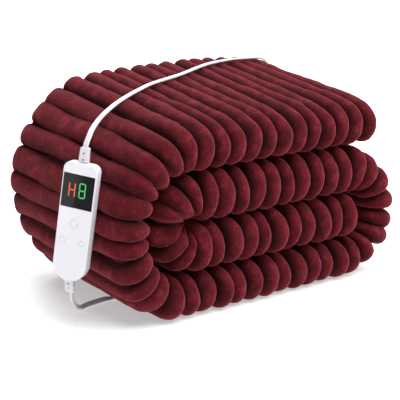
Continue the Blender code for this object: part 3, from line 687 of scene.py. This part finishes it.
# x from the axis, y from the front, z
MAINS_ROUTE = [
    (-0.1115, 0.0595, 0.2225), (-0.1025, 0.0685, 0.2268),
    (-0.0885, 0.0826, 0.2302), (-0.0720, 0.0974, 0.2336), (-0.0530, 0.1121, 0.2372),
    (-0.0320, 0.1251, 0.2416), (-0.0103, 0.1353, 0.2460), (0.0177, 0.1499, 0.2494),
    (0.0465, 0.1635, 0.2522), (0.0966, 0.1786, 0.2556), (0.1471, 0.2004, 0.2593),
    (0.1766, 0.2114, 0.2606), (0.2174, 0.2216, 0.2606), (0.2479, 0.2258, 0.2590),
    (0.2700, 0.2285, 0.2572), (0.2860, 0.2335, 0.2500), (0.2945, 0.2440, 0.2310),
    (0.2962, 0.2590, 0.2020), (0.2945, 0.2740, 0.1620), (0.2910, 0.2865, 0.1100),
    (0.2865, 0.2960, 0.0560), (0.2790, 0.3045, 0.0190), (0.2650, 0.3130, 0.0050),
]
# which way its flat side looks at some points of the route
MAINS_FACING = {2: (-0.30, -0.25, 0.90), 13: (0.0, 0.0, 1.0), 16: (0.60, 0.30, 0.60), 18: (0.50, 0.85, 0.0),
                20: (0.40, 0.80, 0.20), 23: (0.0, 0.0, 1.0)}
COIL_PLACE = (0.2050, 0.3350)
COIL_RADIUS = 0.0360
COIL_ENTRY = math.radians(22)
COIL_LOW = 0.0034
TURN_SLOTS = [(1, 0), (0, 0), (-1, 0), (0, 1), (1, 1)]  # column and layer of each turn
TURN_GAPS = (0.0002, 0.0001)  # between turns: across, up
TURN_STEPS = 30
TURN_RISE = 0.10  # share of a turn by which it has changed its layer
TURN_SHIFT = (0.04, 0.20)  # and over which it changes its column
TAIL_TURN = math.radians(110)
COIL_STRAIGHT = 0.0140  # straight stretch as it comes to the coil and leaves it
COIL_ASIDE = 0.0012
TIP_INSIDE = 0.0025  # its end inside the relief
TIP_STRAIGHT = 0.0030  # and its straight stretch past it
PLUG_PLACE = (0.0900, 0.3480, 0.0093)
PLUG_SIZE = (0.0260, 0.0240, 0.0180)
PLUG_NECK = 0.0160
# from the coil to the plug, measured from the neck's end
TAIL_ROUTE = [(0.0330, 0.0108, -0.0030), (0.0160, 0.0030, -0.0012), (0.0050, 0.0002, 0.0),
              (-0.0020, 0.0, 0.0)]


def from_pile(x, y, z):
    return np.array((AXIS_X + x, FRONT_Y + y, z))


def relief_tip(name, into=0.0):
    side, length = RELIEFS[name]
    reach = side * (CONTROL_LENGTH / 2 + RUNNING_GAP + length - into)
    return np.array(CONTROL @ Vector((0.0, reach, -CONTROL_DEPTH / 2)))


def smooth_route(rows):
    """A Catmull-Rom line through rows of place and facing, at even steps."""
    rows = np.array(rows, dtype=float)
    ends = np.vstack([2 * rows[0] - rows[1], rows, 2 * rows[-1] - rows[-2]])
    share = np.linspace(0.0, 1.0, 16, endpoint=False)[:, None]
    fine = []
    for before, start, end, after in zip(ends, ends[1:], ends[2:], ends[3:]):
        fine.append(0.5 * (2 * start + (end - before) * share
                           + (2 * before - 5 * start + 4 * end - after) * share ** 2
                           + (3 * start - before - 3 * end + after) * share ** 3))
    fine = np.vstack(fine + [rows[-1:]])
    lengths = np.concatenate([[0.0], np.cumsum(np.linalg.norm(np.diff(fine[:, :3], axis=0), axis=1))])
    spots = np.linspace(0.0, lengths[-1], round(lengths[-1] / LEAD_STEP) + 1)
    line = np.stack([np.interp(spots, lengths, column) for column in fine.T], axis=1)
    facing = line[:, 3:] / np.linalg.norm(line[:, 3:], axis=1, keepdims=True)
    return line[:, :3], facing, lengths[-1]


def lead_mesh(path, facing, around=22):
    """A flat twin lead along the path: two rounded cores with a groove between them."""
    along = np.gradient(path, axis=0)
    along /= np.linalg.norm(along, axis=1, keepdims=True)
    across = np.cross(along, facing)
    across /= np.linalg.norm(across, axis=1, keepdims=True)
    up = np.cross(across, along)
    angle = np.linspace(0.0, 2 * math.pi, around, endpoint=False)
    wide = np.cos(angle)
    tall = np.sign(np.sin(angle)) * np.abs(np.sin(angle)) ** LEAD_POWER
    tall *= 1 - LEAD_GROOVE[0] * np.exp(-(wide / LEAD_GROOVE[1]) ** 2)
    lead = bmesh.new()
    for vertex, ring, corner in rolled_up(lead, len(path), around):
        vertex.co = (path[ring] + across[ring] * wide[corner] * LEAD_WIDTH / 2
                     + up[ring] * tall[corner] * LEAD_THICKNESS / 2)
    close_tube(lead)
    return made(lead, sharp=60.0)


def facing_at(point, guides):
    keys = sorted(guides)
    return [float(np.interp(point, keys, [guides[key][axis] for key in keys])) for axis in range(3)]


def coil_spot(angle, column, layer):
    radius = COIL_RADIUS + column * (LEAD_WIDTH + TURN_GAPS[0])
    return from_pile(COIL_PLACE[0] + radius * math.cos(angle), COIL_PLACE[1] + radius * math.sin(angle),
                     COIL_LOW + layer * (LEAD_THICKNESS + TURN_GAPS[1]))


def coil_rows():
    """Places along the tied turns: each turn lies in its slot and moves over as it starts."""
    turns = len(TURN_SLOTS) - 1 + (TAIL_TURN - COIL_ENTRY) / (2 * math.pi)
    rows = []
    for t in np.linspace(0.0, turns, round(turns * TURN_STEPS) + 1):
        now = min(int(t), len(TURN_SLOTS) - 1)
        before, slot, share = TURN_SLOTS[max(now - 1, 0)], TURN_SLOTS[now], t - now
        moved = (share - TURN_SHIFT[0]) / (TURN_SHIFT[1] - TURN_SHIFT[0])
        layer = before[1] + (slot[1] - before[1]) * float(smooth(share / TURN_RISE))
        column = before[0] + (slot[0] - before[0]) * float(smooth(moved))
        rows.append((*coil_spot(COIL_ENTRY + 2 * math.pi * t, column, layer), 0.0, 0.0, 1.0))
    return rows


face_way = tuple(CONTROL.to_3x3() @ Vector((0.0, 0.0, 1.0)))
lead_way = np.array(CONTROL.to_3x3() @ Vector((0.0, 1.0, 0.0)))
guides = {0: face_way, 1: face_way, **{key + 1: value for key, value in MAINS_FACING.items()}}
tip = relief_tip("relief_upper")
rows = [(*relief_tip("relief_upper", TIP_INSIDE), *face_way),
        (*(tip + TIP_STRAIGHT * lead_way), *face_way)]
for point, place in enumerate(MAINS_ROUTE, 2):
    facing = np.array(facing_at(point, guides))
    sink = LEAD_SINK * min(max((point - 2) / 2, 0.0), 1.0) * facing / np.linalg.norm(facing)
    rows.append((*(from_pile(*place) - sink), *facing))
entry_way = np.array((-math.sin(COIL_ENTRY), math.cos(COIL_ENTRY), 0.0))
rows.append((*(coil_spot(COIL_ENTRY, 1, 0) - COIL_STRAIGHT * entry_way + (COIL_ASIDE, 0.0, 0.0)),
             0.0, 0.0, 1.0))
rows += coil_rows()
leaves = coil_spot(TAIL_TURN, 1, 1)
tail_way = np.array((-math.sin(TAIL_TURN), math.cos(TAIL_TURN), 0.0))
neck_start = from_pile(PLUG_PLACE[0] + PLUG_SIZE[0] / 2 + RUNNING_GAP, *PLUG_PLACE[1:])
neck_end = neck_start + (PLUG_NECK, 0.0, 0.0)
for place in [leaves + COIL_STRAIGHT * tail_way] + [neck_end + offset for offset in TAIL_ROUTE]:
    rows.append((*place, 0.0, 0.0, 1.0))
mains_path, mains_facing, mains_length = smooth_route(rows)
mains = piece("mains_cord", lead_mesh(mains_path, mains_facing), PVC, "lead", "mains_lead",
              "mains_coil", "plug_tail")

# ---------------------------------------- the short lead
# The same flat lead, from the foot of the control down into the throw.  It leaves its relief on
# edge, leans over as it comes down to the floor, and lies flat where it goes in.
SHORT_STRAIGHT = 0.0020  # straight stretch past the relief
# x from the axis, y from the front, z
BLANKET_ROUTE = [
    (-0.1361, 0.0714, 0.0387), (-0.1327, 0.0747, 0.0347), (-0.1270, 0.0808, 0.0286),
    (-0.1193, 0.0890, 0.0208), (-0.1105, 0.0972, 0.0130), (-0.1018, 0.1054, 0.0070),
    (-0.0945, 0.1117, 0.0034), (-0.0875, 0.1158, 0.0022), (-0.0790, 0.1180, 0.0021),
    (-0.0679, 0.1196, 0.0021), (-0.0580, 0.1209, 0.0021), (-0.0500, 0.1220, 0.0021),
    (-0.0420, 0.1231, 0.0024), (-0.0385, 0.1236, 0.0034),
]
TURNING = (0.15, -0.60, 0.55)  # which way its flat side looks as it turns over
LEANING = (-0.55, -0.65, 0.52)  # on the floor it leans back on one edge
LEAN_RISE = 0.0018  # and its middle stands that much higher than the solid's
SHORT_SINK = 0.0021 - LEAD_THICKNESS / 2  # from its route's height to lying on the floor
SHORT_EXIT = 0.0040  # it leaves its relief beside the middle,
SHORT_RETURN = 5  # and is back on its route after this many points
edge_way = tuple(CONTROL.to_3x3() @ Vector((1.0, 0.0, 0.0)))
tip = relief_tip("relief_lower")
aside = SHORT_EXIT * np.array(edge_way)
rows = [(*(relief_tip("relief_lower", TIP_INSIDE) + aside), *edge_way),
        (*(tip + aside - SHORT_STRAIGHT * lead_way), *edge_way)]
guides = {0: edge_way, 4: edge_way, 7: TURNING, 9: LEANING, 12: LEANING, 14: (0.0, 0.0, 1.0)}
rises = {0: 0.0, 6: 0.0, 9: LEAN_RISE, 12: LEAN_RISE, 14: -SHORT_SINK}
for point, place in enumerate(BLANKET_ROUTE, 2):
    facing = np.array(facing_at(point, guides))
    rise = float(np.interp(point, list(rises), list(rises.values())))
    still_aside = aside * max(1 - (point - 1) / SHORT_RETURN, 0.0)
    rows.append((*(from_pile(*place) + (0.0, 0.0, rise) + still_aside), *facing))
short_path, short_facing, short_length = smooth_route(rows)
short = piece("blanket_cord", lead_mesh(short_path, short_facing), PVC, "lead", "blanket_lead")

# ---------------------------------------- the sleeve
# A short flattened sleeve of the same PVC, moulded on the lead where it goes into the throw,
# with a shallow groove round it.
SLEEVE_FROM = (-0.0480, 0.1223, 0.0022)
SLEEVE_TO = (-0.0372, 0.1238, 0.0030)
# radius and place along it
SLEEVE_PROFILE = [(0.0, 0.0), (0.0024, 0.0), (0.0027, 0.0006), (0.0027, 0.0040), (0.0025, 0.0045),
                  (0.0027, 0.0050), (0.0027, 0.0102), (0.0024, 0.0108), (0.0, 0.0108)]
SLEEVE_FLAT = (1.32, 0.78, 1.0)
cuff = turned(SLEEVE_PROFILE, 32)
bmesh.ops.scale(cuff, vec=SLEEVE_FLAT, verts=cuff.verts)
sleeve_start = Vector(from_pile(*SLEEVE_FROM))
sleeve_turn = (Vector(from_pile(*SLEEVE_TO)) - sleeve_start).to_track_quat("Z", "Y").to_matrix().to_4x4()
piece("sleeve", made(cuff, Matrix.Translation(sleeve_start) @ sleeve_turn), PVC, "lead", "lead_sleeve")

# ---------------------------------------- the coil's tie
# A grey hook-and-loop band that holds the spare turns: woven tape, wound a little over one turn
# about them and pressed on itself.
TIE_TURN = math.radians(250)
TIE_WIDTH = 0.0100
TIE_ROOM = (0.0102, 0.0036)  # half of its opening, across the turns and up
TIE_LAP = 0.35  # how far it laps over itself, in turns
TIE_START = 0.90
TIE_TAPE = 0.0008
TIE_GROWTH = 0.0010  # how far the lap lies outside


def tie_mesh():
    """A band wound a little over one turn about the coil, with rounded corners."""
    steps, rows = 64, 4
    band = bmesh.new()
    bmesh.ops.create_grid(band, x_segments=steps, y_segments=rows, size=0.5)
    for vertex in band.verts:
        t = (vertex.co.x + 0.5) * (1 + TIE_LAP)
        angle = 2 * math.pi * (t - TIE_START)
        grow = TIE_GROWTH * float(smooth((t - TIE_START) / 0.15))
        bulge = (abs(math.cos(angle)) ** 4 + abs(math.sin(angle)) ** 4) ** -0.25
        vertex.co = ((TIE_ROOM[0] + grow) * bulge * math.cos(angle), vertex.co.y * TIE_WIDTH,
                     (TIE_ROOM[1] + grow) * bulge * math.sin(angle))
    bmesh.ops.recalc_face_normals(band, faces=band.faces)
    bmesh.ops.solidify(band, geom=band.faces[:] + band.edges[:] + band.verts[:], thickness=TIE_TAPE)
    return band


# napped tape: matt, with a fine speckle
loop_tape = plain_material("grey loop tape", "#57575a", 0.92, 0.0, 0.8)
tie_middle = coil_spot(TIE_TURN, 0, 0.5)
tie_place = Matrix.Translation(tie_middle) @ Matrix.Rotation(TIE_TURN, 4, "Z")
band = piece("tie_band", made(tie_mesh(), tie_place), loop_tape, "tie", "coil_tie")

# ---------------------------------------- the plug
# The usual moulded two-blade form in white PVC, with ridges to grip at its sides and a ribbed
# collar where the lead goes in.  Its two blades are punched from brass and nickel-plated.
PLUG_CORNER = 0.0060
PLUG_EDGE = 0.0024
RIDGE_SIZE = (0.0016, 0.0016, 0.0110)
RIDGE_PLACES = (-0.0060, -0.0020, 0.0020, 0.0060)
RIDGE_SUNK = 0.0003
COLLAR_RADIUS = 0.0055
COLLAR_TAPER = 0.0004  # each rib is that much smaller
COLLAR_RIBS = 4
COLLAR_PITCH = 0.0038
COLLAR_START = 0.0006
# steps along each rib, and down from its crest
COLLAR_RIB = [(0.0, 0.0), (0.0022, 0.0), (0.0026, 0.0008), (0.0036, 0.0008)]
COLLAR_END = 0.0036
COLLAR_EDGE = 0.0003
COLLAR_FLAT = (0.80, 1.0, 1.0)
BLADE_SIZE = (0.0064, 0.0160, 0.0015)
BLADE_CORNERS = (0.0016, 0.0004)  # at the tip, at the plug
BLADE_EDGE = 0.0003
BLADE_HOLE = (0.0050, 0.0015)  # from its middle towards the tip, radius
BLADES_APART = 0.0127
STREAKS = (0.0166667, 0.00045455)  # length and width of the plating's drawn streaks


def bevelled(body, edges, offset, segments):
    bmesh.ops.bevel(body, geom=edges, offset=offset, offset_type="OFFSET", segments=segments, profile=0.5,
                    affect="EDGES", material=-1)


plug_middle = from_pile(*PLUG_PLACE)
shape = bmesh.new()
bmesh.ops.create_cube(shape, size=1.0)
bmesh.ops.scale(shape, vec=PLUG_SIZE, verts=shape.verts)
upright = [e for e in shape.edges if abs(e.verts[0].co.z - e.verts[1].co.z) > 0.001]
bevelled(shape, upright, PLUG_CORNER, 6)
rims = [e for e in shape.edges if abs(e.verts[0].co.z - e.verts[1].co.z) < 1e-6
        and len(e.link_faces) == 2 and e.calc_face_angle(0.0) > 1.0]
bevelled(shape, rims, PLUG_EDGE, 4)
for side in (-1, 1):
    for x in RIDGE_PLACES:
        ridge = bmesh.ops.create_cube(shape, size=1.0)["verts"]
        bmesh.ops.scale(shape, vec=RIDGE_SIZE, verts=ridge)
        bmesh.ops.translate(shape, vec=(x, side * (PLUG_SIZE[1] / 2 - RIDGE_SUNK), 0.0), verts=ridge)
bmesh.ops.recalc_face_normals(shape, faces=shape.faces)
plug = piece("plug_shell", made(shape, Matrix.Translation(plug_middle)), PVC, "lead", "plug_body")
ribs = [(0.0, 0.0), (COLLAR_RADIUS, 0.0)]
for rib in range(COLLAR_RIBS):
    for along, down in COLLAR_RIB:
        ribs.append((COLLAR_RADIUS - COLLAR_TAPER * rib - down, COLLAR_START + COLLAR_PITCH * rib + along))
ribs += [(COLLAR_END, PLUG_NECK - COLLAR_EDGE), (0.0, PLUG_NECK)]
collar = turned(ribs, 36)
bmesh.ops.scale(collar, vec=COLLAR_FLAT, verts=collar.verts)
neck_place = Matrix.Translation(neck_start) @ Matrix.Rotation(math.pi / 2, 4, "Y")
neck = piece("plug_collar", made(collar, neck_place), PVC, "lead", "plug_neck")


def plated_material():
    """Nickel plate, drawn lengthways: fine streaks in its gloss."""
    nickel, shader = new_material("nickel plate", {"Base Color": linear("#d6d2ca"), "Metallic": 1.0})
    place = add_node(nickel, "TexCoord").outputs["Object"]
    drawn = add_node(nickel, "Mapping", [("Vector", place)],
                     in_Scale=(1 / STREAKS[0], 1 / STREAKS[1], 1 / STREAKS[1]))
    streaks = add_node(nickel, "TexNoise", [("Vector", drawn.outputs[0])], in_Scale=1.0)
    rough = add_node(nickel, "MapRange", [("Value", streaks.outputs["Fac"])], in_1=0.3, in_2=0.7,
                     in_3=0.18, in_4=0.34)
    link(nickel, rough.outputs[0], shader, "Roughness")
    return nickel


NICKEL = plated_material()
turn_down = Matrix.Rotation(math.pi / 2, 4, "X") @ Matrix.Rotation(math.pi / 2, 4, "Z")
for name, side in (("plug_blade_left", -1), ("plug_blade_right", 1)):
    levels = rounding(BLADE_EDGE, BLADE_SIZE[2] / 2, True, 3)
    levels += rounding(BLADE_EDGE, -BLADE_SIZE[2] / 2, False, 3)
    hole = circle(0.0, *BLADE_HOLE, 20)
    blade = plate((*BLADE_SIZE[:2], *BLADE_CORNERS), levels, [(hole, None)])
    spot = plug_middle + (-PLUG_SIZE[0] / 2 - RUNNING_GAP - BLADE_SIZE[1] / 2, side * BLADES_APART / 2, 0.0)
    piece(name + "_plate", made(blade, Matrix.Translation(spot) @ turn_down),
                        NICKEL, "blade", name)

# ---------------------------------------- the floor and the background
# A pale, matt studio floor that runs into a white background.  It glows a little, as a floor
# lit on its own does.
FLOOR_HALF = 15.0
FLOOR_GLOW = 0.42
SKY_STRENGTH = 0.22
sweep = bmesh.new()
bmesh.ops.create_grid(sweep, x_segments=1, y_segments=1, size=FLOOR_HALF)
floor = add_object("floor", made(sweep))
# matt paint: an even tone with no highlight
floor.data.materials.append(new_material("pale studio floor", {
    "Base Color": linear("#d9d9db"), "Emission Color": linear("#ffffff"), "Emission Strength": FLOOR_GLOW,
    "Roughness": 0.9, "Specular IOR Level": 0.0})[0])

world = bpy.data.worlds.new("studio")
world.use_nodes = True
sky = world.node_tree.nodes["Background"]
sky.inputs["Color"].default_value = linear("#fbfbfd")
seen = add_node(world, "LightPath").outputs["Is Camera Ray"]
# white as the camera sees it, and weaker as a light
strength = add_node(world, "MapRange", [("Value", seen)], in_3=SKY_STRENGTH, in_4=1.0)
link(world, strength.outputs[0], sky, "Strength")
bpy.context.scene.world = world
bpy.context.scene.view_settings.view_transform = "Standard"

# ---------------------------------------- the lights
# Broad soft light from overhead and a little in front, a softbox on the right, one behind, and
# a small panel low on the left, which the smoked window mirrors.
SUN_FROM = (0.14, -0.36, 1.0)
SUN_POWER = 4.1
SUN_WIDTH = math.radians(60.0)
# each softbox: its place, diameter and power
SOFTBOXES = {"right": ((2.1, -1.5, 1.3), 1.3, 30.0), "behind": ((0.6, 1.7, 1.5), 1.6, 36.0)}
SOFTBOX_TARGET = (0.0, 0.0, 0.1)
PANEL_PLACE = (-0.7374, -0.1260, 0.0886)
PANEL_TARGET = (-0.2169, -0.0718, 0.1622)
PANEL_POWER = 0.07
PANEL_ROLL = math.radians(-15.9)
PANEL_SIZE = (0.062, 0.110)


def lamp(name, kind, place, target, power, roll=0.0):
    """A light turned to its target, rolled about that line and hidden from the camera."""
    light = bpy.data.lights.new(name, kind)
    light.energy = power
    thing = add_object(name, light)
    thing.location = place
    facing = (Vector(target) - Vector(place)).to_track_quat("-Z", "Y")
    thing.rotation_euler = (facing @ Quaternion((0.0, 0.0, 1.0), roll)).to_euler()
    thing.visible_camera = False
    return light


overhead = lamp("overhead", "SUN", SUN_FROM, (0.0, 0.0, 0.0), SUN_POWER)
overhead.angle = SUN_WIDTH
for name, (place, size, power) in SOFTBOXES.items():
    softbox = lamp(name, "AREA", place, SOFTBOX_TARGET, power)
    softbox.shape = "DISK"
    softbox.size = size
panel = lamp("panel", "AREA", PANEL_PLACE, PANEL_TARGET, PANEL_POWER, PANEL_ROLL)
panel.shape = "RECTANGLE"
panel.size, panel.size_y = PANEL_SIZE

# ---------------------------------------- the camera
# A long lens that stands well back in front on the left, and looks down at the pile's front
# left corner by about 15 degrees.
CAMERA_PLACE = (-0.7885, -1.0368, 0.4893)  # x from the axis, y from the front, z
CAMERA_PITCH = math.radians(90.0 - 14.842)  # from straight down
CAMERA_YAW = math.radians(-37.096)
FOCAL_PIXELS = 1193.8
PICTURE_WIDTH = 400.0
SENSOR = 36.0
lens = bpy.data.cameras.new("camera")
lens.sensor_width = SENSOR
lens.lens = FOCAL_PIXELS * SENSOR / PICTURE_WIDTH
lens.clip_start = 0.05
camera = add_object("camera", lens)
camera.location = (CAMERA_PLACE[0] + AXIS_X, CAMERA_PLACE[1] + FRONT_Y, CAMERA_PLACE[2])
camera.rotation_euler = (CAMERA_PITCH, 0.0, CAMERA_YAW)
bpy.context.scene.camera = camera
